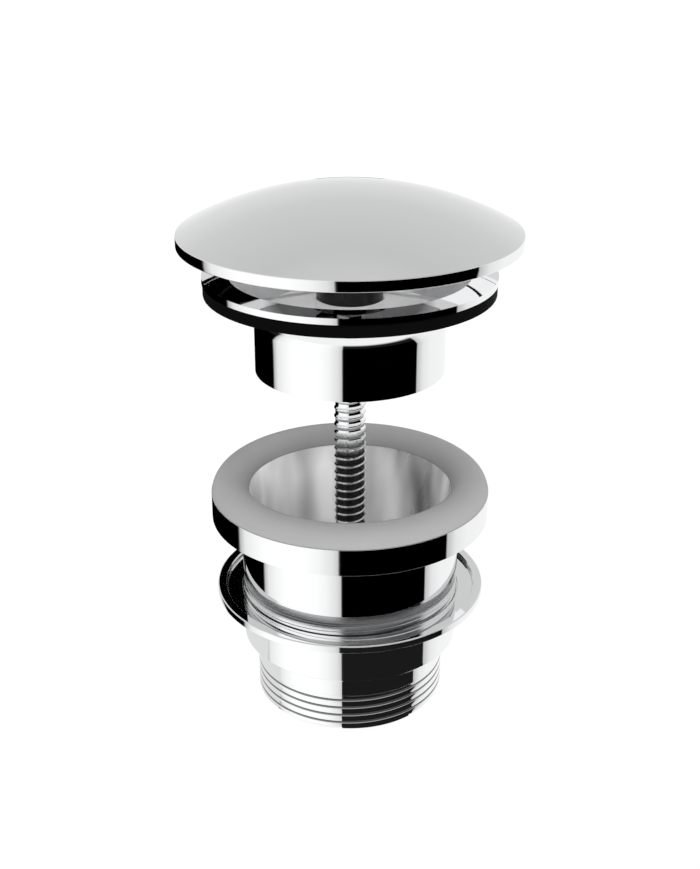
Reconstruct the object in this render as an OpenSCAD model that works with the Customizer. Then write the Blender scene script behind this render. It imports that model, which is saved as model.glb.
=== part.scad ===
// Push-to-close basin waste, drawn loosened: the strainer flange stands raised above the
// under-basin body on its clamp screw. Millimetres, +Z up, the tail stands on z = 0.

/* [Tail piece] */
// Outside diameter of the G 1 1/4 tail
tail_d = 41.91; // [38:0.01:46]
// Length of the tail below the step
tail_h = 14.5; // [13:0.1:30]
// Waterway through the tail
tail_bore_d = 35.2; // [28:0.1:36]
// Chamfer on the end of the tail
tail_chamfer = 0.8; // [0.3:0.1:1.4]
// Length of the socket that the body screws into
socket_h = 8.8; // [7:0.1:14]
// Depth of the socket
socket_depth = 6.3; // [5:0.1:6.6]
// Thickness of the washer at the foot of the socket
tail_washer_t = 1; // [0.6:0.1:1.5]

/* [Pipe threads] */
// Pitch of the neck's thread, 11 to the inch
pipe_pitch = 2.309; // [1.8:0.001:2.6]
// Depth of the thread grooves
pipe_groove = 0.9; // [0.4:0.05:1.2]
// Number of grooves on the tail
tail_grooves = 4; // [2:1:5]
// Height of the lowest groove on the tail
tail_groove_z = 2.6; // [1.6:0.1:3]
// Pitch of the tail's thread, finer than the neck's
tail_pitch = 1.9; // [1.6:0.05:2.4]

/* [Body] */
// Outside diameter of the neck, G 1 1/2
neck_d = 47.8; // [46:0.1:52]
// Height from the socket to the underside of the flange
neck_h = 20.6; // [17:0.1:60]
// Height of the threaded part of the neck
neck_thread_h = 7.2; // [5:0.1:10]
// Outside diameter of the flange
flange_d = 60.5; // [57:0.1:70]
// Thickness of the flange
flange_h = 5.8; // [3:0.1:9]
// Rounding of the flange edges
flange_round = 0.4; // [0.1:0.1:1]
// Wall of the body between its bore and the top of the thread
body_wall = 2.6; // [1.8:0.1:4]
// Wall of the spigot at the foot of the body
spigot_wall = 2.7; // [2:0.1:3.5]

/* [Bridge] */
// Number of arms that carry the boss
bridge_arms = 3; // [2:1:4]
// Width of an arm
bridge_arm_w = 3.6; // [2:0.1:5]
// Height of an arm
bridge_arm_h = 5; // [3:0.1:6]
// Height of the arms above the foot of the body
bridge_z = 6; // [4:0.1:8]
// Diameter of the boss
boss_d = 12; // [11:0.1:14]
// Height of the boss
boss_h = 11; // [9:0.1:13]
// Diameter of the threaded bush in the boss
bush_d = 9; // [8.4:0.1:9.6]

/* [Body gasket] */
// Height of the rounded gasket on the body's flange
body_gasket_h = 3.6; // [2.5:0.1:4]
// Width of the gasket
body_gasket_w = 8.15; // [6:0.05:8.3]

/* [Lock nut] */
// Reach of the nut from the neck to its edge
nut_reach = 5.75; // [5:0.05:9]
// Height of the nut's rim
nut_rim_h = 1.6; // [1.2:0.1:3]
// Width of the raised lip
nut_lip_w = 1.9; // [1.2:0.1:2.4]
// Depth of the recess inside the lip
nut_recess = 1.6; // [1.2:0.1:1.8]
// Width of the nut's foot, from the neck
nut_foot_w = 2.1; // [1.6:0.1:3]
// Whole height of the nut
nut_h = 3.6; // [3:0.1:5]
// Height that the nut can climb
nut_travel = 3.5; // [1:0.1:3.5]
// Thickness of the slip washer in the recess
slip_washer_t = 0.6; // [0.4:0.1:0.8]

/* [Strainer flange] */
// Outside diameter of the ring
ring_d = 60.9; // [60:0.1:70]
// Height of the ring's edge
ring_h = 1.55; // [1.2:0.05:3]
// Width of the flat land on top of the ring
land_w = 5.35; // [4.8:0.05:7]
// Outside diameter of the skirt
skirt_d = 40; // [38:0.1:42]
// Wall of the skirt
skirt_wall = 1.8; // [1.2:0.1:2.2]
// Radius of the fillet between the skirt and the ring's neck
fillet_r = 6.5; // [5.4:0.1:7.5]
// Wall between the funnel and the fillet
funnel_wall = 1.2; // [0.8:0.05:1.6]
// Height from the ring to the end of the skirt
skirt_h = 19.3; // [17:0.1:26]
// Number of ribs that carry the hub
rib_count = 2; // [2:1:4]
// Thickness of a rib
rib_w = 2; // [1.4:0.1:4]
// Depth of a rib at the hub
rib_h = 11; // [8:0.1:13]
// Depth of the rib's top below the land, at the hub
rib_top = 4; // [3:0.1:6]
// Fall of the rib's top from the hub to the wall
rib_fall = 2.1; // [0:0.1:3]
// Wall of the hub round the cartridge
hub_wall = 1.55; // [1.3:0.05:3]
// Height of the hub above the land
hub_rise = 1.7; // [1:0.1:2.2]
// Reach of the hub below the skirt
hub_drop = 2.4; // [2:0.1:6]
// Thickness of the floor of the hub
hub_floor = 3; // [2:0.1:4]

/* [Flange seal] */
// Thickness of the seal under the ring
seal_t = 2.4; // [1.6:0.1:4]
// How far the seal stands in from the edge of the ring
seal_inset = 0.15; // [0:0.05:1]

/* [Clamp screw] */
// Outside diameter of the screw
screw_d = 6.8; // [6:0.1:7]
// Lead of the screw's coarse thread
screw_pitch = 1.9; // [1.5:0.05:2.2]
// Depth of the screw's thread
screw_groove = 0.6; // [0.3:0.05:0.8]
// Diameter of the screw's head
screw_head_d = 10; // [9:0.1:10.6]
// Height of the screw's head
screw_head_h = 3.2; // [2.6:0.1:4]
// Length of screw in the bush, as drawn
screw_engage = 8; // [5:0.1:9]
// Height of the tapered tip
screw_tip_h = 0.8; // [0.4:0.1:1.2]
// Thickness of the washer under the head
screw_washer_t = 0.8; // [0.5:0.1:1.2]

/* [Cartridge] */
// Outside diameter of the cartridge barrel
barrel_d = 11.2; // [10.8:0.1:11.6]
// Wall of the barrel
barrel_wall = 1.1; // [0.8:0.05:1.2]
// Diameter of the plunger where it leaves the barrel
plunger_d = 6.8; // [6:0.1:7]
// Thickness of the collar on top of the barrel
collar_h = 1.4; // [1:0.1:1.8]
// Diameter of the thread that holds the cap
stud_d = 5.9; // [5:0.1:5.9]
// Wire of the return spring
spring_wire = 0.6; // [0.4:0.05:0.7]
// Mean diameter of the return spring
spring_d = 4.4; // [3.8:0.1:4.6]
// Turns of the return spring
spring_turns = 7; // [4:1:8]
// Diameter of the latch pin
latch_d = 1; // [0.8:0.1:1.2]

/* [Cap] */
// Reach of the cap past the ring's edge
cap_overhang = 4.9; // [2:0.1:9]
// Height of the cap's upright rim
cap_rim_h = 2.25; // [2:0.05:4]
// Rise of the dome above the rim
cap_rise = 9; // [8.6:0.1:14]
// Wall of the cap
cap_wall = 1.6; // [1:0.1:1.8]
// Gap between the ring and the raised cap
cap_lift = 6.5; // [5.5:0.1:7]
// Thickness of the cap's gasket
cap_gasket_t = 2.2; // [1.8:0.1:2.4]
// Width of the cap's gasket in its groove
cap_gasket_w = 2.6; // [2:0.1:3.6]
// Width of the lip that shows on the underside
cap_lip_w = 0.8; // [0.5:0.1:1.4]

/* [Spacing] */
// Height of the seal above the body's flange, as drawn
carrier_lift = 44.6; // [40:0.1:60]

/* [Hidden] */
$fn = 96;
chrome = [0.82, 0.83, 0.85];
brass = [0.80, 0.66, 0.36];
steel = [0.70, 0.71, 0.72];
black_rubber = [0.08, 0.08, 0.08];
grey_rubber = [0.62, 0.62, 0.62];

// Fits between the pieces
running_gap = 0.05;
thread_gap = 0.05;
closed_gap = 0.1;
stop_gap = 0.1;
washer_gap = 0.25;
mouth_chamfer = 0.6;
eps = 0.01;

// Heights, from the floor up
z_step = tail_h;
z_socket = z_step + socket_h;
z_spigot = z_socket - socket_depth + tail_washer_t;
z_thread = z_socket + neck_thread_h;
z_flange = z_socket + neck_h;
z_seat = z_flange + flange_h;
z_seal = z_seat + carrier_lift;
z_ring = z_seal + seal_t;
z_land = z_ring + ring_h;
z_skirt = z_ring - skirt_h;
z_hub = z_skirt - hub_drop;
z_hub_top = z_land + hub_rise;
z_rim = z_land + cap_lift;
z_dome = z_rim + cap_rim_h;
z_apex = z_dome + cap_rise;

// Tail piece and its joint with the body
spigot_d = tail_d - 2 * thread_gap;
spigot_bore_d = spigot_d - 2 * spigot_wall;
tail_washer_gap = 0.15;

// Strainer flange's ring and funnel
land_in_d = ring_d - 2 * land_w;
fillet_mid_r = skirt_d / 2 + fillet_r;
z_fillet = z_seal - sqrt(pow(fillet_r, 2) - pow(max(0, fillet_mid_r - land_in_d / 2), 2));

// Body, gasket and nut
body_bore_d = neck_d - 2 * body_wall;
body_gasket_d = flange_d - 0.1;
nut_d = neck_d + 2 * nut_reach;
nut_hub_d = neck_d + 2 * nut_foot_w;
nut_recess_d = nut_d - 2 * nut_lip_w;
z_nut = z_socket + 0.1;
z_nut_face = z_nut + nut_h - nut_recess;

// Bridge and bush
z_bridge = z_spigot + bridge_z;
z_boss = z_bridge + 2;
bush_flange_d = boss_d - 1;
bush_flange_h = 1;
z_bush_top = z_boss + boss_h;

// Clamp screw and the floor that it bears on
z_floor = z_hub + hub_floor;
z_head = z_floor + screw_washer_t;
z_head_top = z_head + screw_head_h;
z_tip = z_bush_top + bush_flange_h - screw_engage;
screw_hole_d = screw_d + 0.6;
screw_washer_d = barrel_d + 2 * running_gap - 2 * washer_gap;
slot_w = 1.4;
slot_depth = 1.6;

// Cartridge
hub_bore_d = barrel_d + 2 * running_gap;
hub_d = hub_bore_d + 2 * hub_wall;
barrel_bore_d = barrel_d - 2 * barrel_wall;
z_barrel = z_head_top + 0.4;
seat_h = 1.2;
z_chamber = z_barrel + seat_h;
z_chamber_top = z_hub_top - 1.2;
collar_d = hub_d;
oring_wire = 1;
cap_stroke = cap_lift - closed_gap;
drum_d = barrel_bore_d - 2 * running_gap;
z_drum = z_chamber + cap_stroke + stop_gap;
z_drum_top = z_chamber_top - stop_gap;
spring_bore_d = spring_d + spring_wire + 0.6;
z_spring_top = z_drum_top - 1.8;
z_latch = z_drum + latch_d / 2 + 0.7;
track_depth = 0.75;

// Cap
cap_d = ring_d + 2 * cap_overhang;
dome_r = (pow(cap_d / 2, 2) + pow(cap_rise, 2)) / (2 * cap_rise);
z_dome_centre = z_apex - dome_r;
cap_in_d = cap_d - 2 * cap_wall;
z_insert = z_rim + 0.05;
z_insert_top = z_rim + 2.5;
z_lip_top = z_rim + 0.8;
land_mid_d = (land_in_d + ring_d) / 2;
pocket_d = collar_d + 2.8;
z_pocket = z_hub_top + collar_h + cap_stroke + 0.8;
cap_bush_d = 9.6;
cap_bush_h = 4.5;

// Half of a section turned about the axis
module turned() {
    rotate_extrude() children();
}

// A ring of rectangular section between two diameters
module washer(in_d, out_d, z, h) {
    turned() translate([in_d / 2, z]) square([(out_d - in_d) / 2, h]);
}

// One V-shaped thread groove, cut into a wall of diameter d at height z
module groove_section(d, z, depth, width) {
    polygon([[d / 2 + eps, z - width / 2 - eps], [d / 2 + eps, z + width / 2 + eps],
             [d / 2 - depth, z + width * 0.08], [d / 2 - depth, z - width * 0.08]]);
}

// Lower body and tail

module tail_piece() color(chrome) turned() difference() {
    union() {
        translate([tail_bore_d / 2, tail_chamfer])
            square([(tail_d - tail_bore_d) / 2, z_step - tail_chamfer + eps]);
        polygon([[tail_bore_d / 2, 0], [tail_d / 2 - tail_chamfer, 0],
                 [tail_d / 2, tail_chamfer], [tail_bore_d / 2, tail_chamfer]]);
        translate([tail_bore_d / 2, z_step + 0.3])
            square([(neck_d - tail_bore_d) / 2, socket_h - 0.3]);
        polygon([[tail_bore_d / 2, z_step], [neck_d / 2 - 0.3, z_step],
                 [neck_d / 2, z_step + 0.3], [tail_bore_d / 2, z_step + 0.3]]);
    }
    translate([0, z_socket - socket_depth]) square([tail_d / 2, socket_depth + 1]);
    for (i = [0 : tail_grooves - 1])
        groove_section(tail_d, tail_groove_z + i * tail_pitch, pipe_groove, tail_pitch * 0.7);
}

module tail_washer() color(black_rubber)
    washer(spigot_bore_d + 2 * tail_washer_gap, tail_d - 2 * tail_washer_gap,
           z_socket - socket_depth, tail_washer_t);

// Section of the body's outside, filled to the axis
module body_outline() difference() {
    union() {
        translate([0, z_spigot]) square([spigot_d / 2, z_socket - z_spigot + eps]);
        translate([0, z_socket]) square([neck_d / 2, neck_h + eps]);
        translate([0, z_flange + flange_round])
            square([flange_d / 2, flange_h - 2 * flange_round]);
        translate([0, z_flange]) square([flange_d / 2 - flange_round, flange_h]);
        for (z = [z_flange + flange_round, z_seat - flange_round])
            translate([flange_d / 2 - flange_round, z]) circle(flange_round);
    }
    for (z = [z_thread - pipe_pitch / 2 : -pipe_pitch : z_socket + pipe_pitch / 2])
        groove_section(neck_d, z, pipe_groove, pipe_pitch * 0.8);
}

// Section of the body's waterway, from the spigot to the mouth
module body_waterway() {
    taper_z = z_bridge + bridge_arm_h;
    polygon([[0, z_spigot - 1], [spigot_bore_d / 2, z_spigot - 1], [spigot_bore_d / 2, z_bridge - 1],
             [body_bore_d / 2, taper_z], [body_bore_d / 2, z_seat - mouth_chamfer],
             [body_bore_d / 2 + mouth_chamfer, z_seat], [body_bore_d / 2 + mouth_chamfer, z_seat + 1],
             [0, z_seat + 1]]);
}

module waste_body() color(chrome) {
    arm_in_r = (bush_d + boss_d) / 4;
    turned() difference() {
        body_outline();
        body_waterway();
    }
    turned() polygon([[bush_d / 2, z_bridge - 1], [boss_d / 2 - 0.5, z_bridge - 1],
                      [boss_d / 2, z_bridge - 0.5], [boss_d / 2, z_bush_top], [bush_d / 2, z_bush_top]]);
    for (i = [0 : bridge_arms - 1]) rotate([0, 0, 90 + i * 360 / bridge_arms])
        translate([arm_in_r, -bridge_arm_w / 2, z_bridge])
            cube([body_bore_d / 2 + 0.3 - arm_in_r, bridge_arm_w, bridge_arm_h]);
}

module bridge_bush() color(brass) difference() {
    union() {
        translate([0, 0, z_boss]) cylinder(d = bush_d, h = boss_h);
        translate([0, 0, z_bush_top]) cylinder(d = bush_flange_d, h = bush_flange_h);
    }
    translate([0, 0, z_boss - 1]) cylinder(d = screw_d + 2 * thread_gap, h = boss_h + 4);
}

// The rounded gasket is a slice of a round cord, flat where it lies on the flange
module body_gasket() color(grey_rubber) {
    half_w = body_gasket_w / 2;
    mid_r = body_gasket_d / 2 - half_w;
    cord_r = (pow(half_w, 2) + pow(body_gasket_h, 2)) / (2 * body_gasket_h);
    turned() intersection() {
        translate([mid_r, z_seat + body_gasket_h - cord_r]) circle(cord_r);
        translate([mid_r - half_w, z_seat]) square([2 * half_w, body_gasket_h + 1]);
    }
}

// Lock nut on the neck

module lock_nut() color(chrome) turned() polygon([
    [neck_d / 2 + thread_gap, z_nut],
    [nut_hub_d / 2, z_nut],
    [nut_d / 2, z_nut + nut_h - nut_rim_h],
    [nut_d / 2, z_nut + nut_h - 0.2],
    [nut_d / 2 - 0.2, z_nut + nut_h],
    [nut_recess_d / 2, z_nut + nut_h],
    [nut_recess_d / 2, z_nut_face],
    [neck_d / 2 + thread_gap, z_nut_face]]);

module slip_washer() color(steel)
    washer(neck_d + 0.6, nut_recess_d - 2 * washer_gap, z_nut_face, slip_washer_t);

// Strainer flange with its skirt, ribs and hub

// Section of the ring and skirt, without the ribs and the hub
module flange_section() {
    skirt_r = skirt_d / 2;
    throat_r = skirt_r - skirt_wall;
    // The funnel's wall runs straight from its mouth to the throat and clears the fillet by its wall
    mouth = [land_in_d / 2 - 1.2, z_land - 1.4];
    reach = mouth - [fillet_mid_r, z_fillet];
    round_r = fillet_r + funnel_wall;
    turn = atan2(reach.y, reach.x) + acos(round_r / norm(reach));
    touch = [fillet_mid_r + round_r * cos(turn), z_fillet + round_r * sin(turn)];
    z_throat = touch.y - (touch.x - throat_r) * (mouth.y - touch.y) / (mouth.x - touch.x);
    difference() {
        union() {
            translate([0, z_ring + 0.25]) square([ring_d / 2, ring_h - 0.25]);
            polygon([[0, z_ring], [ring_d / 2 - 0.25, z_ring], [ring_d / 2, z_ring + 0.25],
                     [0, z_ring + 0.25]]);
            translate([0, z_seal]) square([land_in_d / 2, seal_t + eps]);
            translate([0, z_fillet]) square([land_in_d / 2, z_seal - z_fillet + eps]);
            translate([0, z_skirt]) square([skirt_r, z_seal - z_skirt]);
        }
        translate([fillet_mid_r, z_fillet]) circle(fillet_r);
        translate([fillet_mid_r, z_fillet - fillet_r]) square([fillet_r, z_seal - z_fillet + fillet_r]);
        polygon([[0, z_skirt - 1], [throat_r + 0.5, z_skirt - 1], [throat_r + 0.5, z_skirt],
                 [throat_r, z_skirt + 0.5], [throat_r, z_throat], mouth,
                 [land_in_d / 2, z_land], [land_in_d / 2, z_land + 1], [0, z_land + 1]]);
    }
}

// One upright rib runs from the hub into the wall of the skirt, its lower edge arched
module hub_rib() {
    in_r = hub_bore_d / 2 + 0.5;
    out_r = (skirt_d - skirt_wall) / 2 + 0.4;
    hub_z = z_land - rib_top;
    rotate([90, 0, 0]) translate([0, 0, -rib_w / 2]) linear_extrude(rib_w)
        polygon([[in_r, hub_z], [hub_d / 2, hub_z], [out_r, hub_z - rib_fall], [out_r, hub_z - rib_h],
                 [out_r - 2, hub_z - rib_h + 1.4], [hub_d / 2 + 3, hub_z - rib_h + 1.4],
                 [hub_d / 2, hub_z - rib_h], [in_r, hub_z - rib_h]]);
}

module strainer_flange() color(chrome) difference() {
    union() {
        turned() flange_section();
        for (i = [0 : rib_count - 1]) rotate([0, 0, i * 360 / rib_count]) hub_rib();
        translate([0, 0, z_hub]) cylinder(d = hub_d, h = z_hub_top - z_hub);
    }
    translate([0, 0, z_floor]) cylinder(d = hub_bore_d, h = z_hub_top - z_floor + 1);
    translate([0, 0, z_hub_top - oring_wire]) cylinder(d = hub_bore_d + 2 * oring_wire, h = oring_wire + 1);
    translate([0, 0, z_hub - 1]) cylinder(d = screw_hole_d, h = hub_floor + 2);
}

module flange_seal() color(black_rubber)
    washer(land_in_d, ring_d - 2 * seal_inset, z_seal, seal_t);

// Clamp screw

module screw_washer() color(steel) washer(screw_hole_d, screw_washer_d, z_floor, screw_washer_t);

module clamp_screw() color(chrome) difference() {
    shank = z_head - z_tip;
    turns = floor((shank - 2 * screw_tip_h - 0.6 * screw_pitch) / screw_pitch);
    union() {
        turned() difference() {
            translate([0, z_tip + screw_tip_h]) square([screw_d / 2, shank - screw_tip_h + eps]);
            for (i = [0 : turns])
                groove_section(screw_d, z_tip + 2 * screw_tip_h + i * screw_pitch, screw_groove,
                               screw_pitch * 0.8);
        }
        translate([0, 0, z_tip]) cylinder(d1 = screw_d - 2 * screw_tip_h, d2 = screw_d, h = screw_tip_h);
        translate([0, 0, z_head]) cylinder(d = screw_head_d, h = screw_head_h);
    }
    translate([-screw_head_d, -slot_w / 2, z_head_top - slot_depth])
        cube([2 * screw_head_d, slot_w, slot_depth + 1]);
}

// Push cartridge in the hub

module cartridge_barrel() color(brass) difference() {
    union() {
        translate([0, 0, z_barrel]) cylinder(d = barrel_d, h = z_hub_top - z_barrel + eps);
        translate([0, 0, z_hub_top]) cylinder(d = collar_d, h = collar_h);
    }
    translate([0, 0, z_barrel - 1]) cylinder(d = barrel_bore_d, h = z_chamber_top - z_barrel + 1);
    translate([0, 0, z_chamber_top - 1]) cylinder(d = plunger_d + 2 * running_gap, h = collar_h + 4);
    translate([0, 0, z_latch]) rotate([-90, 0, 0]) cylinder(d = latch_d, h = barrel_d);
}

module cartridge_oring() color(black_rubber)
    turned() translate([hub_bore_d / 2 + oring_wire / 2, z_hub_top - oring_wire / 2]) circle(oring_wire / 2);

module latch_pin() color(steel)
    translate([0, drum_d / 2 - track_depth + 0.1, z_latch]) rotate([-90, 0, 0])
        cylinder(d = latch_d, h = (barrel_d - drum_d) / 2 + track_depth - 0.1);

module spring_seat() color(brass)
    translate([0, 0, z_barrel]) cylinder(d = barrel_bore_d, h = seat_h);

// The spring is one closed coil of square-cut wire, drawn at its raised length
module return_spring() color(steel) {
    z_low = z_chamber + spring_wire / 2;
    z_high = z_spring_top - spring_wire / 2;
    steps_per_turn = 20;
    sides = 6;
    steps = spring_turns * steps_per_turn;
    points = [for (i = [0 : steps]) for (j = [0 : sides - 1])
        let (a = i * 360 / steps_per_turn, b = j * 360 / sides,
             r = spring_d / 2 + cos(b) * spring_wire / 2)
        [r * cos(a), r * sin(a), z_low + (z_high - z_low) * i / steps + sin(b) * spring_wire / 2]];
    walls = [for (i = [0 : steps - 1]) for (j = [0 : sides - 1])
        let (k = (j + 1) % sides)
        [i * sides + j, i * sides + k, (i + 1) * sides + k, (i + 1) * sides + j]];
    first = [for (j = [sides - 1 : -1 : 0]) j];
    last = [for (j = [0 : sides - 1]) steps * sides + j];
    polyhedron(points, concat([first], walls, [last]), convexity = 10);
}

// The heart-shaped track of the latch is milled into the plunger's drum
module latch_track() {
    low = z_latch - latch_d / 2 - 0.1;
    run = cap_stroke + latch_d + 0.2;
    floor_r = drum_d / 2 - track_depth;
    translate([-latch_d / 2 - 0.1, floor_r, low]) cube([latch_d + 0.2, drum_d, run]);
    translate([-latch_d / 2 - 1.1, floor_r, low + run * 0.45]) cube([latch_d + 0.2, drum_d, run * 0.45]);
}

module plunger() color(chrome) difference() {
    union() {
        translate([0, 0, z_drum]) cylinder(d = drum_d, h = z_drum_top - z_drum);
        translate([0, 0, z_drum_top - eps]) cylinder(d = plunger_d, h = z_pocket - z_drum_top + eps);
        translate([0, 0, z_pocket - eps]) cylinder(d = stud_d, h = cap_bush_h - 0.5);
    }
    translate([0, 0, z_drum - 1]) cylinder(d = spring_bore_d, h = z_spring_top - z_drum + 1);
    latch_track();
}

// Cap

module cap_dome() color(chrome) turned() difference() {
    union() {
        translate([0, z_rim]) square([cap_d / 2, cap_rim_h]);
        intersection() {
            translate([0, z_dome_centre]) circle(dome_r, $fn = 720);
            translate([0, z_dome - eps]) square([cap_d / 2, cap_rise + 1]);
        }
    }
    intersection() {
        translate([0, z_dome_centre]) circle(dome_r - cap_wall, $fn = 720);
        translate([0, z_rim - 1]) square([cap_in_d / 2, cap_rise + cap_rim_h + 1]);
    }
    translate([-cap_d, 0]) square([cap_d, z_apex + 1]);
}

// Underside of the dome at radius r
function inside_z(r) = z_dome_centre + sqrt(pow(dome_r - cap_wall, 2) - r * r);

// The gasket lies in an undercut groove, and only its lip shows on the underside
module cap_gasket_section(below = 0) {
    mid_r = land_mid_d / 2;
    translate([mid_r - cap_gasket_w / 2, z_lip_top])
        square([cap_gasket_w, cap_gasket_t - z_lip_top + z_rim]);
    translate([mid_r - cap_lip_w / 2, z_rim - below]) square([cap_lip_w, z_lip_top - z_rim + below + eps]);
}

// The backing plate closes the cap from below and holds the gasket and the bush
module cap_insert() color(chrome) difference() {
    turned() difference() {
        polygon([[0, z_insert], [cap_in_d / 2, z_insert], [cap_in_d / 2, inside_z(cap_in_d / 2) - 0.1],
                 [cap_in_d / 2 - 6, inside_z(cap_in_d / 2 - 6) - 0.5], [land_in_d / 2, z_insert_top],
                 [pocket_d / 2 + 2, z_insert_top], [pocket_d / 2 + 2, z_pocket + 1.6],
                 [cap_bush_d / 2 + 1.6, z_pocket + 1.6], [cap_bush_d / 2 + 1.6, z_pocket + cap_bush_h],
                 [0, z_pocket + cap_bush_h]]);
        translate([0, z_insert - 1]) square([pocket_d / 2, z_pocket - z_insert + 1]);
        cap_gasket_section(1);
    }
    translate([0, 0, z_pocket - 1]) cylinder(d = cap_bush_d, h = cap_bush_h + 2);
}

module cap_bush() color(brass) difference() {
    translate([0, 0, z_pocket]) cylinder(d = cap_bush_d, h = cap_bush_h);
    translate([0, 0, z_pocket - 1]) cylinder(d = stud_d + 2 * thread_gap, h = cap_bush_h + 2);
}

module cap_gasket() color(black_rubber) turned() cap_gasket_section();

cap_dome();
cap_insert();
cap_bush();
cap_gasket();
plunger();
cartridge_barrel();
cartridge_oring();
latch_pin();
spring_seat();
return_spring();
strainer_flange();
flange_seal();
screw_washer();
clamp_screw();
body_gasket();
waste_body();
bridge_bush();
slip_washer();
lock_nut();
tail_washer();
tail_piece();
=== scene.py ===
import math

import bmesh
import bpy
from mathutils import Matrix, Vector


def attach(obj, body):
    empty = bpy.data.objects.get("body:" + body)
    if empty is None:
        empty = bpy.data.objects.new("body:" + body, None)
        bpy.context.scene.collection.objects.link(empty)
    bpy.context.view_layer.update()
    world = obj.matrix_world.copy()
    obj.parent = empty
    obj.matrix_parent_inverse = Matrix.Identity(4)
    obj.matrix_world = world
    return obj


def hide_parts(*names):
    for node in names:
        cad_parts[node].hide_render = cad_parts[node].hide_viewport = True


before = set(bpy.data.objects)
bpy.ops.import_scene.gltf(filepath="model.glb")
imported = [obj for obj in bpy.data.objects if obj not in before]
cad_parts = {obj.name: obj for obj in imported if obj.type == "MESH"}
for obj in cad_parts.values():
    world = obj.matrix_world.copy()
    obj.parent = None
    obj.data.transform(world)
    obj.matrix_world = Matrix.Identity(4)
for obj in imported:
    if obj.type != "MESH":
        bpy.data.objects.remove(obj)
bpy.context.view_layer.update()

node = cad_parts
mm = 0.001

# ---------------------------------------------------------------- studio
# The waste stands on a pale table in a white studio. To give the chrome its bands, the studio is dark
# low down at the back left and at the front right, and shows the same pattern again in a gallery above
# the camera's side. Cards behind and sheets round the foot are seen only in the chrome.

eye_back, eye_height, look_down = 0.2688, 0.178, 23.37
camera_data = bpy.data.cameras.new("camera")
camera_data.sensor_fit = "AUTO"
camera_data.sensor_width = 36
camera_data.lens = 56.2
camera_data.clip_start, camera_data.clip_end = 0.02, 30
camera = bpy.data.objects.new("camera", camera_data)
camera.location = (0, -eye_back, eye_height)
camera.rotation_euler = (math.radians(90 - look_down), 0, 0)
bpy.context.scene.collection.objects.link(camera)
bpy.context.scene.camera = camera
bpy.context.scene.view_settings.view_transform = "Standard"


def wired(tree, kind, inputs=None, **settings):
    """A node of that kind with its settings. Its inputs are joined to other nodes or given values."""
    made = tree.nodes.new(kind)
    for key, value in settings.items():
        setattr(made, key, value)
    for key, value in (inputs or {}).items():
        if isinstance(value, bpy.types.NodeSocket):
            tree.links.new(value, made.inputs[key])
        else:
            made.inputs[key].default_value = value
    return made


def reckoned(tree, operation, a, b):
    """The result of a Math node with those two values."""
    return wired(tree, "ShaderNodeMath", {0: a, 1: b}, operation=operation).outputs[0]


def ranged(tree, value, low, high, to_low=0.0, to_high=1.0):
    """A value moved from one range onto another and held inside it."""
    return wired(tree, "ShaderNodeMapRange", {"Value": value, "From Min": low, "From Max": high,
                                              "To Min": to_low, "To Max": to_high}).outputs[0]


def bands(tree, factor, stops):
    """A colour ramp with a stop for each (place, grey) pair."""
    ramp = wired(tree, "ShaderNodeValToRGB", {"Fac": factor})
    while len(ramp.color_ramp.elements) < len(stops):
        ramp.color_ramp.elements.new(0.5)
    for element, (place, grey) in zip(ramp.color_ramp.elements, stops):
        element.position = place
        element.color = (grey, grey, grey, 1)
    return ramp.outputs["Color"]


def mixed(tree, factor, a, b):
    """One colour where the factor is 0 and another where it is 1."""
    return wired(tree, "ShaderNodeMix", {"Factor": factor, "A": a, "B": b},
                 data_type="RGBA").outputs["Result"]


def turn_share(degrees):
    """Where an azimuth lies on the ramp round the studio: 0 faces the camera, plus is to the right."""
    return (degrees / 180 + 1) / 2


studio = bpy.data.worlds.new("white_studio")
bpy.context.scene.world = studio
studio.use_nodes = True
air = studio.node_tree
air.nodes.clear()
way = wired(air, "ShaderNodeSeparateXYZ",
            {0: wired(air, "ShaderNodeTexCoord").outputs["Generated"]}).outputs
towards = reckoned(air, "MULTIPLY", way["Y"], -1.0)
azimuth = reckoned(air, "ARCTAN2", way["X"], towards)

# round the walls, from behind over the left, the camera's side and the right. The pattern is spread
# out by a twentieth from about 16 degrees below the horizon upwards
spread = reckoned(air, "MULTIPLY", azimuth, ranged(air, way["Z"], -0.342, -0.281, 1.0, 0.952))
share = ranged(air, spread, -math.pi, math.pi)
walls = bands(air, share, [(turn_share(degrees), grey) for degrees, grey in (
    (-180, 0.0), (-104.3, 0.0), (-102.6, 0.5), (-96, 0.86), (-85, 0.98), (-72, 1.08), (-48, 1.08),
    (-36, 1.06), (-25, 0.98), (-14, 0.80), (-9.6, 0.62), (-8.4, 0.0), (86.0, 0.0), (87.2, 0.55),
    (97, 0.84), (112, 0.94), (180, 0.97))])

# height runs from 0, straight down, over 0.5, the horizon, to 1, straight up. The walls' pattern shows
# below the ceiling and in the gallery, and the haze is as grey as the sheet that lies in front
height = ranged(air, way["Z"], -1.0, 1.0)
ceiling = bands(air, height, [(0.396, 1.0), (0.413, 0.94), (0.5, 0.83), (0.57, 0.75), (0.655, 0.70),
                              (0.735, 0.64), (0.854, 0.60), (0.93, 0.57), (0.98, 0.61)])
low_floor = bands(air, height, [(0.14, 1.0), (0.18, 0.0)])
in_front = ranged(air, towards, 0.05, 0.15)
gallery = bands(air, height, [(0.712, 0.0), (0.727, 1.0), (0.80, 1.0), (0.815, 0.0)])
open_ceiling = reckoned(air, "SUBTRACT", 1.0, reckoned(air, "MULTIPLY", in_front, gallery))
above = reckoned(air, "MULTIPLY", bands(air, height, [(0.392, 0.0), (0.405, 1.0)]), open_ceiling)
haze = ranged(air, way["Z"], -0.518, -0.532, 0.0, 0.011)
hazy = wired(air, "ShaderNodeVectorMath", {0: walls, 1: haze}, operation="ADD").outputs[0]
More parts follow.
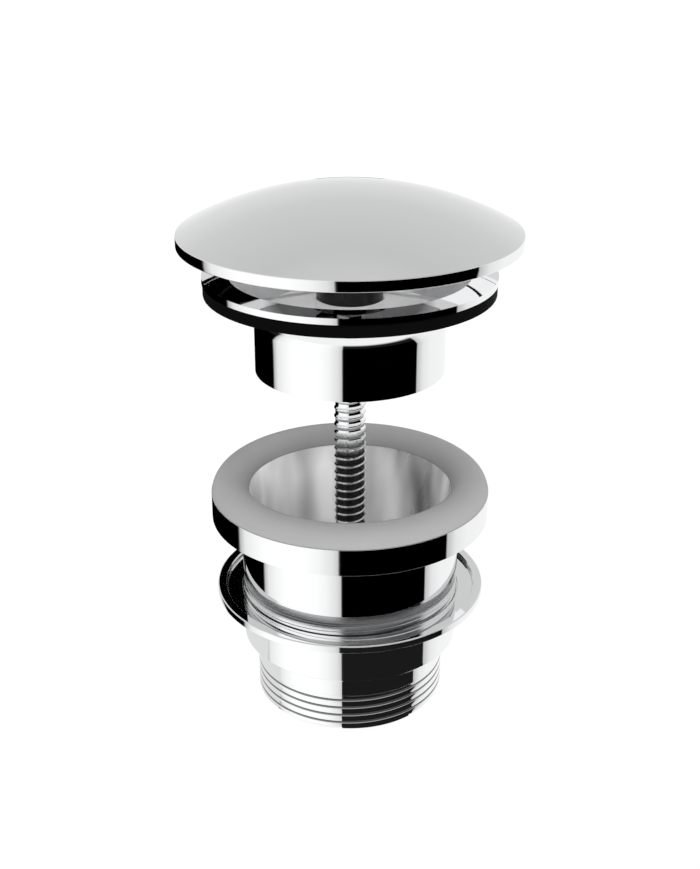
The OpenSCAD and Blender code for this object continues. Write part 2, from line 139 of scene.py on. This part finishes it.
lower = mixed(air, low_floor, hazy, (0.95, 0.95, 0.95, 1))
seen = mixed(air, above, lower, ceiling)
ray = wired(air, "ShaderNodeLightPath").outputs
glossy = mixed(air, ray["Is Glossy Ray"], (2.0, 2.0, 2.0, 1), seen)
shown = mixed(air, ray["Is Camera Ray"], glossy, (1, 1, 1, 1))
wired(air, "ShaderNodeOutputWorld",
      {"Surface": wired(air, "ShaderNodeBackground", {"Color": shown}).outputs[0]})

# the table glows white to the camera but for a twentieth, which keeps the shadow
table_drop = 0.2 * mm
shadow_kept = 0.05
table = bpy.data.materials.new("pale_table")
table.use_nodes = True
top = table.node_tree
top.nodes.clear()
table_ray = wired(top, "ShaderNodeLightPath").outputs
lit = wired(top, "ShaderNodeBsdfPrincipled",
            {"Base Color": (0.9, 0.9, 0.9, 1), "Roughness": 0.7}).outputs[0]
glow = wired(top, "ShaderNodeEmission", {"Color": (1, 1, 1, 1)}).outputs[0]
veil = reckoned(top, "MULTIPLY", table_ray["Is Camera Ray"], 1 - shadow_kept)
wired(top, "ShaderNodeOutputMaterial",
      {"Surface": wired(top, "ShaderNodeMixShader", {0: veil, 1: lit, 2: glow}).outputs[0]})
bm = bmesh.new()
bmesh.ops.create_grid(bm, x_segments=1, y_segments=1, size=6)
bmesh.ops.translate(bm, vec=(0, 0, -table_drop), verts=bm.verts)
table_mesh = bpy.data.meshes.new("table")
bm.to_mesh(table_mesh)
bm.free()
table_mesh.materials.append(table)
floor = bpy.data.objects.new("table", table_mesh)
bpy.context.scene.collection.objects.link(floor)
floor.visible_glossy = False

# each card: its brightness, the azimuths that it runs between, the (radius, height) ends of its rim in
# metres, and its cuts, as a point on the cut and the direction of what is cut away
foot_in, foot_z = 0.018, -0.0001
for label, grey, first, last, rim, trims in (
        ("card_behind", 0.0, -178, -122, [(0.050, 0.036), (0.050, 0.088)], []),
        ("strip_behind", 0.2, 177.8, 182.2, [(1.0, -0.20), (1.0, -0.02)], []),
        ("sheet_left", 0.76, -180, -40, [(foot_in, foot_z), (0.060, foot_z)],
         [((-0.030, -0.0120, 0), (-0.091, -0.996, 0))]),
        ("sheet_front", 0.011, -30, 80, [(foot_in, foot_z), (0.0445, foot_z)],
         [((-0.00186, -0.02087, 0), (-0.986, 0.168, 0)),
          ((0.01416, -0.01545, 0), (0.1475, 0.989, 0))])):
    paper = bpy.data.materials.new(label)
    paper.use_nodes = True
    paper.node_tree.nodes.clear()
    wired(paper.node_tree, "ShaderNodeOutputMaterial", {"Surface": wired(
        paper.node_tree, "ShaderNodeEmission", {"Color": (grey, grey, grey, 1)}).outputs[0]})
    bm = bmesh.new()
    start = math.radians(first)
    bm.edges.new([bm.verts.new((r * math.sin(start), -r * math.cos(start), z)) for r, z in rim])
    bmesh.ops.spin(bm, geom=bm.verts[:] + bm.edges[:], cent=(0, 0, 0), axis=(0, 0, 1),
                   angle=math.radians(last - first), steps=24)
    for through, away in trims:
        bmesh.ops.bisect_plane(bm, geom=bm.verts[:] + bm.edges[:] + bm.faces[:], plane_co=through,
                               plane_no=away, clear_outer=True)
    card_mesh = bpy.data.meshes.new(label)
    bm.to_mesh(card_mesh)
    bm.free()
    card_mesh.materials.append(paper)
    card = bpy.data.objects.new(label, card_mesh)
    bpy.context.scene.collection.objects.link(card)
    card.visible_camera = card.visible_diffuse = card.visible_shadow = False

middle = Vector((0, 0, 0.05))
for label, place, size, power in (("key", (-0.25, -0.8, 0.7), 0.5, 2.0),
                                  ("fill", (0.35, -0.8, 0.24), 0.6, 3.4)):
    lamp_data = bpy.data.lights.new(label, "AREA")
    lamp_data.shape = "SQUARE"
    lamp_data.size = size
    lamp_data.energy = power
    lamp = bpy.data.objects.new(label, lamp_data)
    lamp.location = place
    lamp.rotation_euler = (middle - Vector(place)).to_track_quat("-Z", "Y").to_euler()
    lamp.visible_glossy = False
    bpy.context.scene.collection.objects.link(lamp)

# ---------------------------------------------------------------- cap
# A pressed brass dome with a rolled upright rim, polished and chrome plated. A plated backing plate
# is pressed into it, its middle darkened with painted shade. An undercut groove in the plate holds
# the black closing ring, of which only a lip shows, and a pocket in its middle takes the cartridge.


def turned(corners, soft=0.12, steps=200, closed=True):
    """An outline of (radius, height) corners in mm, turned about the axis, with its edges eased."""
    bm = bmesh.new()
    row = [bm.verts.new((r * mm, 0, z * mm)) for r, z in corners]
    for a, b in zip(row, row[1:] + (row[:1] if closed else [])):
        bm.edges.new((a, b))
    bmesh.ops.spin(bm, geom=bm.verts[:] + bm.edges[:], cent=(0, 0, 0), axis=(0, 0, 1),
                   angle=2 * math.pi, steps=steps, use_merge=True)
    bmesh.ops.remove_doubles(bm, verts=bm.verts, dist=1e-7)
    bmesh.ops.recalc_face_normals(bm, faces=bm.faces)
    if soft:
        ease(bm, soft)
    return bm


def ease(bm, width, angle=24):
    """Rounds the edges where two faces meet at more than that angle, as polishing does."""
    sharp = [e for e in bm.edges if e.is_manifold and e.calc_face_angle() > math.radians(angle)]
    bmesh.ops.bevel(bm, geom=sharp, offset=width * mm, offset_type="OFFSET", segments=3, profile=0.5,
                    affect="EDGES", material=-1, clamp_overlap=True)


def arc(centre_r, centre_z, radius, start, end, count):
    """Corners along an arc, with angles in degrees from +radius towards +height."""
    step = math.radians(end - start) / (count - 1)
    return [(centre_r + radius * math.cos(math.radians(start) + i * step),
             centre_z + radius * math.sin(math.radians(start) + i * step)) for i in range(count)]


def fitted(name, bm, body, slot, material, *stands_for):
    """Makes the piece of a mesh, gives it its material and fixes it to its body."""
    crease = 34
    mesh = bpy.data.meshes.new(name)
    bm.to_mesh(mesh)
    bm.free()
    mesh.materials.append(material)
    mesh.polygons.foreach_set("use_smooth", [True] * len(mesh.polygons))
    mesh.set_sharp_from_angle(angle=math.radians(crease))
    made = bpy.data.objects.new(name, mesh)
    bpy.context.scene.collection.objects.link(made)
    shading = made.modifiers.new("even_shading", "WEIGHTED_NORMAL")
    shading.keep_sharp = True
    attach(made, body)
    if stands_for:
        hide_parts(*stands_for)


def finish_group(name):
    """Polish, grain or moulding texture: small changes of tone and roughness, and a height."""
    group = bpy.data.node_groups.new(name, "ShaderNodeTree")
    face = group.interface
    for label, kind, start in (("Vector", "NodeSocketVector", None),
                               ("Fine", "NodeSocketFloat", 900.0),
                               ("Broad", "NodeSocketFloat", 60.0),
                               ("Stretch", "NodeSocketFloat", 1.0),
                               ("Tone", "NodeSocketFloat", 0.03),
                               ("Rough Low", "NodeSocketFloat", 0.03),
                               ("Rough High", "NodeSocketFloat", 0.06)):
        socket = face.new_socket(name=label, in_out="INPUT", socket_type=kind)
        if start is not None:
            socket.default_value = start
    for label in ("Shade", "Roughness", "Height"):
        face.new_socket(name=label, in_out="OUTPUT", socket_type="NodeSocketFloat")
    given = wired(group, "NodeGroupInput").outputs
    lengthened = wired(group, "ShaderNodeCombineXYZ",
                       {"X": 1.0, "Y": 1.0, "Z": given["Stretch"]}).outputs[0]
    place = wired(group, "ShaderNodeVectorMath", {0: given["Vector"], 1: lengthened},
                  operation="MULTIPLY").outputs[0]
    fine = wired(group, "ShaderNodeTexNoise",
                 {"Vector": place, "Scale": given["Fine"], "Detail": 4.0}).outputs[0]
    broad = wired(group, "ShaderNodeTexNoise",
                  {"Vector": place, "Scale": given["Broad"], "Detail": 2.0}).outputs[0]
    both = reckoned(group, "MULTIPLY", fine, broad)
    rough = ranged(group, both, 0.12, 0.42, given["Rough Low"], given["Rough High"])
    swing = reckoned(group, "MULTIPLY", reckoned(group, "SUBTRACT", broad, 0.5), given["Tone"])
    shade = reckoned(group, "ADD", swing, 1.0)
    wired(group, "NodeGroupOutput", {"Shade": shade, "Roughness": rough, "Height": fine})
    return group


def painted_shade_group(name):
    """Painted shade: darker from the crest's radius to the root's, below a height. It stands in for
    the shade in the roots of a thread, or under the cap in the middle of the backing plate."""
    fade = 0.006
    group = bpy.data.node_groups.new(name, "ShaderNodeTree")
    group.interface.new_socket(name="Vector", in_out="INPUT", socket_type="NodeSocketVector")
    for label in ("Root", "Crest", "Top", "Dark"):
        group.interface.new_socket(name=label, in_out="INPUT", socket_type="NodeSocketFloat")
    group.interface.new_socket(name="Shade", in_out="OUTPUT", socket_type="NodeSocketFloat")
    given = wired(group, "NodeGroupInput").outputs
    along = wired(group, "ShaderNodeSeparateXYZ", {0: given["Vector"]}).outputs
    across = wired(group, "ShaderNodeCombineXYZ",
                   {"X": along["X"], "Y": along["Y"], "Z": 0.0}).outputs[0]
    radius = wired(group, "ShaderNodeVectorMath", {0: across}, operation="LENGTH").outputs["Value"]
    depth = ranged(group, radius, given["Crest"], given["Root"])
    ending = reckoned(group, "SUBTRACT", given["Top"], fade)
    low = ranged(group, along["Z"], given["Top"], ending)
    dark = reckoned(group, "MULTIPLY", reckoned(group, "MULTIPLY", depth, low), given["Dark"])
    wired(group, "NodeGroupOutput", {"Shade": reckoned(group, "SUBTRACT", 1.0, dark)})
    return group


surface = finish_group("surface_finish")
painted_shade_tone = painted_shade_group("painted_shade_tone")


def finished(name, colour, metallic, bump, specular=0.5, grooves=None, **look):
    """A material whose colour, roughness and bump come from the surface finish, with painted shade
    in its grooves or none."""
    bump_reach = 0.02 * mm
    material = bpy.data.materials.new(name)
    material.use_nodes = True
    tree = material.node_tree
    tree.nodes.clear()
    where = wired(tree, "ShaderNodeTexCoord").outputs["Object"]
    inputs = {"Vector": where}
    inputs.update({key.replace("_", " "): value for key, value in look.items()})
    finish = wired(tree, "ShaderNodeGroup", inputs, node_tree=surface).outputs
    shade = finish["Shade"]
    # painted shade: the base colour is darkened in the grooves
    if grooves:
        root = wired(tree, "ShaderNodeGroup", {"Vector": where, **grooves}, node_tree=painted_shade_tone)
        shade = reckoned(tree, "MULTIPLY", shade, root.outputs["Shade"])
    tint = wired(tree, "ShaderNodeVectorMath", {0: colour, "Scale": shade},
                 operation="SCALE").outputs[0]
    relief = wired(tree, "ShaderNodeBump", {"Height": finish["Height"], "Strength": bump,
                                            "Distance": bump_reach}).outputs[0]
    shader = wired(tree, "ShaderNodeBsdfPrincipled",
                   {"Base Color": tint, "Roughness": finish["Roughness"], "Metallic": metallic,
                    "Normal": relief, "Specular IOR Level": specular}).outputs[0]
    wired(tree, "ShaderNodeOutputMaterial", {"Surface": shader})
    return material


def plated(name, tone, smooth, dull, bump=0.05, grooves=None):
    """Bright chrome plate, with its roughness between two values, and painted shade in its grooves or
    none.
    """
    return finished(name, (0.93, 0.935, 0.94), 1.0, bump, grooves=grooves, Fine=350.0, Broad=40.0,
                    Tone=tone, Rough_Low=smooth, Rough_High=dull)


chrome = plated("polished_chrome", 0.02, 0.015, 0.045)
black_rubber = finished("black_rubber", (0.0014, 0.0014, 0.0014), 0.0, 0.5, specular=0.02,
                        Fine=1500.0, Broad=90.0, Tone=0.5, Rough_Low=0.55, Rough_High=0.75)
brass = finished("turned_brass", (0.80, 0.60, 0.28), 1.0, 0.3, Fine=300.0, Broad=80.0, Stretch=12.0,
                 Tone=0.15, Rough_Low=0.16, Rough_High=0.3)
steel = finished("bright_steel", (0.62, 0.62, 0.63), 1.0, 0.2, Fine=500.0, Broad=90.0, Tone=0.1,
                 Rough_Low=0.14, Rough_High=0.28)

rim_r, rim_foot, rim_wall = 35.35, 104.75, 1.6
rim_in = rim_r - rim_wall
dome_r, dome_centre = 73.924, 42.076
dome_in = dome_r - rim_wall
half = math.degrees(math.asin(rim_r / dome_r))
inner_half = math.degrees(math.asin(rim_in / dome_in))
cap = turned(
    arc(0, dome_centre, dome_r, 90, 90 - half, 60)
    + [(rim_r, rim_foot), (rim_in, rim_foot)]
    + arc(0, dome_centre, dome_in, 90 - inner_half, 90, 30), soft=0.0, closed=False, steps=240)
ease(cap, 0.12, 40)
fitted("cap_shell", cap, "cap", "chrome", chrome, "cap_dome")

# the plate's middle is painted darker: painted shade under the cap, which the ring mirrors
plate_chrome_painted_shade = plated("plate_chrome_painted_shade", 0.02, 0.02, 0.05,
                      grooves={"Root": 0.0150, "Crest": 0.0180, "Top": 0.2, "Dark": 0.75})
plate_z, plate_r = 104.8, 33.74
mouth_in, mouth_out = 27.36, 28.19
under_in, under_out, under_low, under_high = 26.475, 29.075, 105.56, 106.95
pocket_r, pocket_z = 8.6, 108.55
boss_z, stud_hole_r, stud_hole_z = 110.15, 6.4, 113.05
plate = turned([
    (0, pocket_z), (pocket_r, pocket_z), (pocket_r, plate_z), (mouth_in, plate_z),
    (mouth_in, under_low), (under_in, under_low), (under_in, under_high), (under_out, under_high),
    (under_out, under_low), (mouth_out, under_low), (mouth_out, plate_z), (plate_r, plate_z),
    (plate_r, 105.9), (27.7, 108.3), (25.1, 107.25), (10.6, 107.25), (10.6, boss_z),
    (stud_hole_r, boss_z), (stud_hole_r, stud_hole_z), (0, stud_hole_z)], soft=0.0, closed=False)
fitted("backing_plate", plate, "cap", "chrome", plate_chrome_painted_shade, "cap_insert")
side_gap, under_gap, top_gap = 0.015, 0.005, 0.01
lip_in, lip_out = mouth_in + side_gap, mouth_out - side_gap
bead_in, bead_out = under_in + under_gap, under_out - under_gap
bead_low, bead_high = under_low + top_gap, under_high - top_gap
lip = turned([(lip_in, rim_foot), (lip_out, rim_foot), (lip_out, bead_low), (bead_out, bead_low),
              (bead_out, bead_high), (bead_in, bead_high), (bead_in, bead_low), (lip_in, bead_low)],
             soft=0.1)
fitted("closing_ring", lip, "cap", "black_rubber", black_rubber, "cap_gasket")

# ---------------------------------------------------------------- push cartridge
# The bushes and the seat are turned brass, the plunger and the barrel are brass plated with chrome.
# The spring, the latch pin and the seat are hidden in the barrel. The screw's washer and the tail's
# flat washer, which hardly show, are dressed here with them.

for label, finish in (("cap_bush", brass), ("cartridge_barrel", chrome), ("spring_seat", brass),
                      ("plunger", chrome), ("return_spring", steel), ("latch_pin", steel),
                      ("cartridge_oring", black_rubber), ("screw_washer", steel),
                      ("bridge_bush", brass), ("tail_washer", black_rubber)):
    node[label].data.materials.clear()
    node[label].data.materials.append(finish)

# ---------------------------------------------------------------- strainer flange
# One brass casting, machined and chrome plated: a flat ring, a funnel, the skirt that drops into
# the basin's hole, and two upright ribs that carry the hub. The funnel's inside stays as cast, and
# a black sleeve stands on the hub, round the barrel: painted shade for the dark upper hub.

cast = finished("plated_casting", (0.94, 0.94, 0.945), 0.1, 0.1, Fine=420.0, Broad=150.0,
                Stretch=0.2, Tone=0.35, Rough_Low=0.3, Rough_High=0.45)
land_r, ring_r, ring_z, ring_foot = 25.1, 30.45, 98.25, 96.7
skirt_r, skirt_in, skirt_foot = 20.0, 18.7, 77.4
strainer = turned(
    [(land_r, ring_z), (ring_r, ring_z), (ring_r, 96.95), (30.2, ring_foot), (land_r, ring_foot)]
    + arc(26.5, 87.953, 6.5, 102.44, 180, 18)
    + [(skirt_r, skirt_foot), (skirt_in, skirt_foot), (skirt_in, 90.0), (24.2, 96.6)],
    soft=0.0, steps=220)
fitted("strainer_ring", strainer, "strainer", "chrome", chrome, "strainer_flange")
throat_r = 18.2
funnel = turned([(25.12, 98.2), (23.9, 96.85), (throat_r, 90.0), (throat_r, 77.9), (18.72, 77.42),
                 (18.8, 77.6), (18.8, 89.9), (24.4, 96.4)], soft=0.1, steps=200)
fitted("strainer_funnel", funnel, "strainer", "chrome", cast, "strainer_flange")
hub_r, bore_r, hole_r = 7.2, 5.65, 3.7
hub = turned([(bore_r, 78.0), (bore_r, 92.75), (6.9, 92.75), (hub_r, 93.0), (hub_r, 75.0),
              (hole_r, 75.0), (hole_r, 78.0)], soft=0.1, steps=96)
fitted("strainer_hub", hub, "strainer", "chrome", cast, "strainer_flange")
# a black sleeve in place of the hub's dark top: painted shade
painted_shade_black = finished("painted_shade_black", (0.010, 0.010, 0.010), 0.0, 0.05, specular=0.4,
                         Fine=900.0, Broad=60.0, Tone=0.3, Rough_Low=0.25, Rough_High=0.4)
sleeve = turned([(5.66, 92.8), (6.85, 92.8), (6.95, 93.05), (6.95, 99.95), (6.65, 99.95),
                 (6.65, 98.95), (5.66, 98.95)], soft=0.12, steps=96)
fitted("hub_shade_sleeve", sleeve, "strainer", "black_rubber", painted_shade_black, "strainer_flange")
rib_start, rib_long, rib_thick, rib_deep, rib_top, rib_fall = 6.3, 12.9, 2.0, 11.0, 94.25, 2.1
for side in (1, -1):
    rib = bmesh.new()
    bmesh.ops.create_cube(rib, size=1)
    bmesh.ops.scale(rib, vec=(rib_long * mm, rib_thick * mm, rib_deep * mm), verts=rib.verts)
    bmesh.ops.translate(rib, vec=((rib_start + rib_long / 2) * mm, 0, (rib_top - rib_deep / 2) * mm),
                        verts=rib.verts)
    outer_top = [v for v in rib.verts if v.co.x > 12 * mm and v.co.z > 90 * mm]
    bmesh.ops.translate(rib, vec=(0, 0, -rib_fall * mm), verts=outer_top)
    ease(rib, 0.35)
    bmesh.ops.scale(rib, vec=(side, 1, 1), verts=rib.verts)
    bmesh.ops.recalc_face_normals(rib, faces=rib.faces)
    fitted("strainer_rib_" + ("right" if side > 0 else "left"), rib, "strainer", "chrome", cast,
           "strainer_flange")

# ---------------------------------------------------------------- flange seal
# A flat ring cut from black rubber sheet, pushed over the funnel against the underside of the ring.

seal_r, seal_t = 30.3, 2.4
seal = turned([(land_r, ring_foot - seal_t), (seal_r, ring_foot - seal_t), (seal_r, ring_foot),
               (land_r, ring_foot)], soft=0.25)
fitted("rubber_seal", seal, "strainer", "black_rubber", black_rubber, "flange_seal")

# ---------------------------------------------------------------- clamp screw
# A rolled coarse-threaded brass screw, chrome plated, with a slotted cheese head inside the hub.
# Painted shade darkens its roots towards the lower end, where it runs down into the body.


def threaded(section, lead, low, high, wall=None, steps=72):
    """A right-hand thread: one pitch of the section run up a helix, cut flat at both ends and closed,
    round a wall of that radius or solid."""
    turns = math.ceil((high - low) / lead) + 3
    run_in = low - 1.5 * lead
    bm = bmesh.new()
    pitch = section + [(section[0][0], section[0][1] + lead)]
    row = [bm.verts.new((r * mm, 0, (run_in + z) * mm)) for r, z in pitch]
    for a, b in zip(row, row[1:]):
        bm.edges.new((a, b))
    bmesh.ops.spin(bm, geom=bm.verts[:] + bm.edges[:], cent=(0, 0, 0), axis=(0, 0, 1),
                   angle=2 * math.pi * turns, steps=steps * turns, dvec=(0, 0, lead * mm / steps))
    bmesh.ops.remove_doubles(bm, verts=bm.verts, dist=2e-6)
    for z, way_up in ((low, -1), (high, 1)):
        bmesh.ops.bisect_plane(bm, geom=bm.verts[:] + bm.edges[:] + bm.faces[:], dist=1e-7,
                               plane_co=(0, 0, z * mm), plane_no=(0, 0, way_up), clear_outer=True)
    rims = [e for e in bm.edges if e.is_boundary]
    if wall is None:
        bmesh.ops.holes_fill(bm, edges=rims, sides=0)
    else:
        grown = bmesh.ops.extrude_edge_only(bm, edges=rims)["geom"]
        for v in (g for g in grown if isinstance(g, bmesh.types.BMVert)):
            flat = Vector((v.co.x, v.co.y, 0)).normalized() * wall * mm
            v.co = (flat.x, flat.y, v.co.z)
        bmesh.ops.bridge_loops(bm, edges=[e for e in bm.edges if e.is_boundary])
    bmesh.ops.recalc_face_normals(bm, faces=bm.faces)
    return bm


# painted shade in the roots below 64 mm, where the screw runs down into the body
screw_chrome_root_shade = plated("screw_chrome_root_shade", 0.05, 0.03, 0.07,
                      grooves={"Root": 0.00319, "Crest": 0.00336, "Top": 0.064, "Dark": 0.96})
screw_r, root_r, screw_lead = 3.4, 3.15, 1.9
rod = threaded([(screw_r, 0), (screw_r, 0.18), (3.2, 0.34), (root_r, 0.5), (root_r, 1.5), (3.2, 1.66)],
               screw_lead, 30.2, 78.9)
fitted("screw_shank", rod, "screw", "chrome", screw_chrome_root_shade, "clamp_screw")
head_r, head_foot, slot_z, head_top, slot_half = 5.0, 78.8, 80.4, 82.0, 0.7
head = turned([(0, head_foot), (head_r, head_foot), (head_r, slot_z), (0, slot_z)],
              soft=0.12, steps=64, closed=False)
fitted("screw_head", head, "screw", "chrome", chrome, "clamp_screw")
tip = turned([(0, 30.0), (2.5, 30.0), (2.7, 30.25), (0, 30.25)], soft=0, steps=48, closed=False)
fitted("screw_tip", tip, "screw", "chrome", chrome, "clamp_screw")
for side in (1, -1):
    lobe = turned([(0, 80.3), (head_r, 80.3), (head_r, head_top), (0, head_top)],
                  soft=0.0, steps=64, closed=False)
    bmesh.ops.bisect_plane(lobe, geom=lobe.verts[:] + lobe.edges[:] + lobe.faces[:],
                           plane_co=(0, side * slot_half * mm, 0), plane_no=(0, -side, 0),
                           clear_outer=True)
    bmesh.ops.holes_fill(lobe, edges=[e for e in lobe.edges if e.is_boundary], sides=0)
    bmesh.ops.recalc_face_normals(lobe, faces=lobe.faces)
    fitted("screw_lobe_" + ("back" if side > 0 else "front"), lobe, "screw", "chrome", chrome,
           "clamp_screw")

# ---------------------------------------------------------------- body
# A brass casting with a flange, a threaded neck and a bridge with a boss across its waterway. The
# outside is polished and plated, the neck's thread and the band over it are turned and duller, with
# painted shade in the thread's roots, and the waterway is plated as cast and stays dull.

flange_r, flange_top, flange_foot = 30.25, 49.7, 43.9
neck_r, neck_foot, thread_top = 23.9, 23.3, 30.5
outside = turned(
    [(22.3, flange_top), (flange_r, flange_top), (flange_r, flange_foot), (neck_r, flange_foot),
     (neck_r, thread_top), (22.9, thread_top), (22.9, neck_foot), (21.7, neck_foot), (21.7, 43.0),
     (22.4, 49.0)], soft=0.0, steps=220)
ease(outside, 0.04, 40)
fitted("body_wall", outside, "lower_body", "chrome", chrome, "waste_body")
body_cast = finished("body_casting", (0.52, 0.52, 0.525), 0.3, 0.05, Fine=300.0, Broad=85.0,
                     Stretch=0.3, Tone=4.0, Rough_Low=0.25, Rough_High=0.4)
waterway = turned(
    [(22.45, 49.69), (22.03, 49.69), (21.3, 43.5), (21.3, 29.0), (18.2, 23.0), (18.2, 18.0),
     (20.9, 18.0), (20.9, 23.3), (21.75, 23.4), (21.75, 43.4), (22.45, 49.2)], soft=0.0, steps=160)
fitted("body_waterway", waterway, "lower_body", "chrome", body_cast, "waste_body")
neck_lead, neck_wall = 2.309, 22.8
neck_thread = threaded([(neck_r, 0), (neck_r, 0.62), (23.7, 0.74), (neck_r, 0.86), (neck_r, 1.5),
                        (23.2, 1.74), (23.2, 2.08)], neck_lead, 23.35, 28.3, wall=neck_wall, steps=160)
# the thread's roots are darker: painted shade
neck_chrome_root_shade = plated("neck_chrome_root_shade", 0.03, 0.16, 0.22, bump=0.02,
                     grooves={"Root": 0.0231, "Crest": 0.02365, "Top": 0.05, "Dark": 0.85})
fitted("neck_thread", neck_thread, "lower_body", "chrome", neck_chrome_root_shade, "waste_body")
turned_finish = finished("turned_plating", (0.5, 0.5, 0.51), 1.0, 0.03, Fine=300.0, Broad=60.0,
                         Stretch=10.0, Tone=0.2, Rough_Low=0.22, Rough_High=0.28)
relief = turned([(22.85, 28.1), (23.2, 28.3), (23.3, 28.5), (23.7, 28.8), (23.7, thread_top),
                 (22.85, thread_top)], soft=0.03, steps=200)
fitted("thread_relief", relief, "lower_body", "chrome", turned_finish, "waste_body")
boss = turned([(4.5, 23.0), (5.5, 23.0), (6.0, 23.5), (6.0, 37.0), (4.5, 37.0)], soft=0.1, steps=96)
fitted("bridge_boss", boss, "lower_body", "chrome", body_cast, "waste_body")
arm_start, arm_long, arm_wide, arm_deep, arm_z = 5.3, 16.3, 3.6, 5.0, 26.5
for i in range(3):
    arm = bmesh.new()
    bmesh.ops.create_cube(arm, size=1)
    bmesh.ops.scale(arm, vec=(arm_long * mm, arm_wide * mm, arm_deep * mm), verts=arm.verts)
    bmesh.ops.translate(arm, vec=((arm_start + arm_long / 2) * mm, 0, arm_z * mm), verts=arm.verts)
    ease(arm, 0.5)
    bmesh.ops.rotate(arm, cent=(0, 0, 0), matrix=Matrix.Rotation(math.radians(90 + 120 * i), 3, "Z"),
                     verts=arm.verts)
    fitted("bridge_arm_%d" % (i + 1), arm, "lower_body", "chrome", body_cast, "waste_body")

# ---------------------------------------------------------------- body gasket
# A thick grey rubber gasket with a rounded back lies on the body's flange and seals against the
# underside of the basin. It is moulded and dull.

grey_rubber = finished("grey_rubber", (0.195, 0.195, 0.195), 0.0, 0.35, specular=0.3,
                       Fine=1400.0, Broad=70.0, Tone=0.12, Rough_Low=0.55, Rough_High=0.7)
back_r, back_top, back_middle = 4.106, 53.3, 26.125
back_z = back_top - back_r
foot = math.degrees(math.asin((flange_top - back_z) / back_r))
cushion = turned(arc(back_middle, back_z, back_r, foot, 180 - foot, 32), soft=0.0, steps=200)
ease(cushion, 0.15, 40)
fitted("support_gasket", cushion, "lower_body", "grey_rubber", grey_rubber, "body_gasket")

# ---------------------------------------------------------------- lock nut and slip washer
# A flat round brass nut, plated, with a raised lip round a recess. A thin bright washer lies in the
# recess, so the nut turns without dragging on the basin.

nut_r, nut_bore, nut_foot, recess_r, recess_z, lip_top = 29.65, 23.95, 23.4, 27.75, 25.4, 27.0
nut = turned([(nut_bore, nut_foot), (26.0, nut_foot), (nut_r, recess_z), (nut_r, 26.8),
              (29.45, lip_top), (recess_r, lip_top), (recess_r, recess_z), (nut_bore, recess_z)],
             soft=0.04, steps=220)
fitted("flat_nut", nut, "nut", "chrome", chrome, "lock_nut")
washer_in, washer_r, washer_t = 24.2, 27.5, 0.6
washer = turned([(washer_in, recess_z), (washer_r, recess_z), (washer_r, recess_z + washer_t),
                 (washer_in, recess_z + washer_t)], soft=0.08, steps=180)
fitted("nut_washer", washer, "nut_washer", "steel", chrome, "slip_washer")

# ---------------------------------------------------------------- tail piece
# Turned brass, plated: a socket that screws up under the nut, a step, and the threaded tail that
# the trap's nut closes on. The tail's grooves are narrow, with painted shade in their roots.

tail_r, tail_bore, tail_core, thread_z = 20.955, 17.6, 20.1, 9.0
step_z, socket_r, socket_top = 14.5, 23.9, 23.3
tail = turned(
    [(tail_bore, 0), (20.155, 0), (20.2, 0.8), (tail_core, 0.85), (tail_core, thread_z),
     (tail_r, thread_z), (tail_r, step_z), (23.6, step_z), (socket_r, 14.8), (socket_r, socket_top),
     (tail_r, socket_top), (tail_r, 17.0), (tail_bore, 17.0)], soft=0.0, steps=200)
ease(tail, 0.12, 40)
fitted("tail_wall", tail, "lower_body", "chrome", chrome, "tail_piece")
tail_lead, land, groove = 1.9, 20.92, 20.7
tail_thread = threaded(
    [(land, 1.5), (tail_r, 1.75), (tail_r, 2.2), (land, 2.5), (groove, 2.7), (20.68, 2.75),
     (groove, 2.8), (land, 3.1)], tail_lead, 0.8, 9.01, wall=20.0, steps=140)
# the grooves' roots are darker: painted shade
tail_chrome_root_shade = plated("tail_chrome_root_shade", 0.03, 0.03, 0.07,
                     grooves={"Root": 0.0208, "Crest": 0.02092, "Top": 0.05, "Dark": 0.75})
fitted("tail_thread", tail_thread, "lower_body", "chrome", tail_chrome_root_shade, "tail_piece")
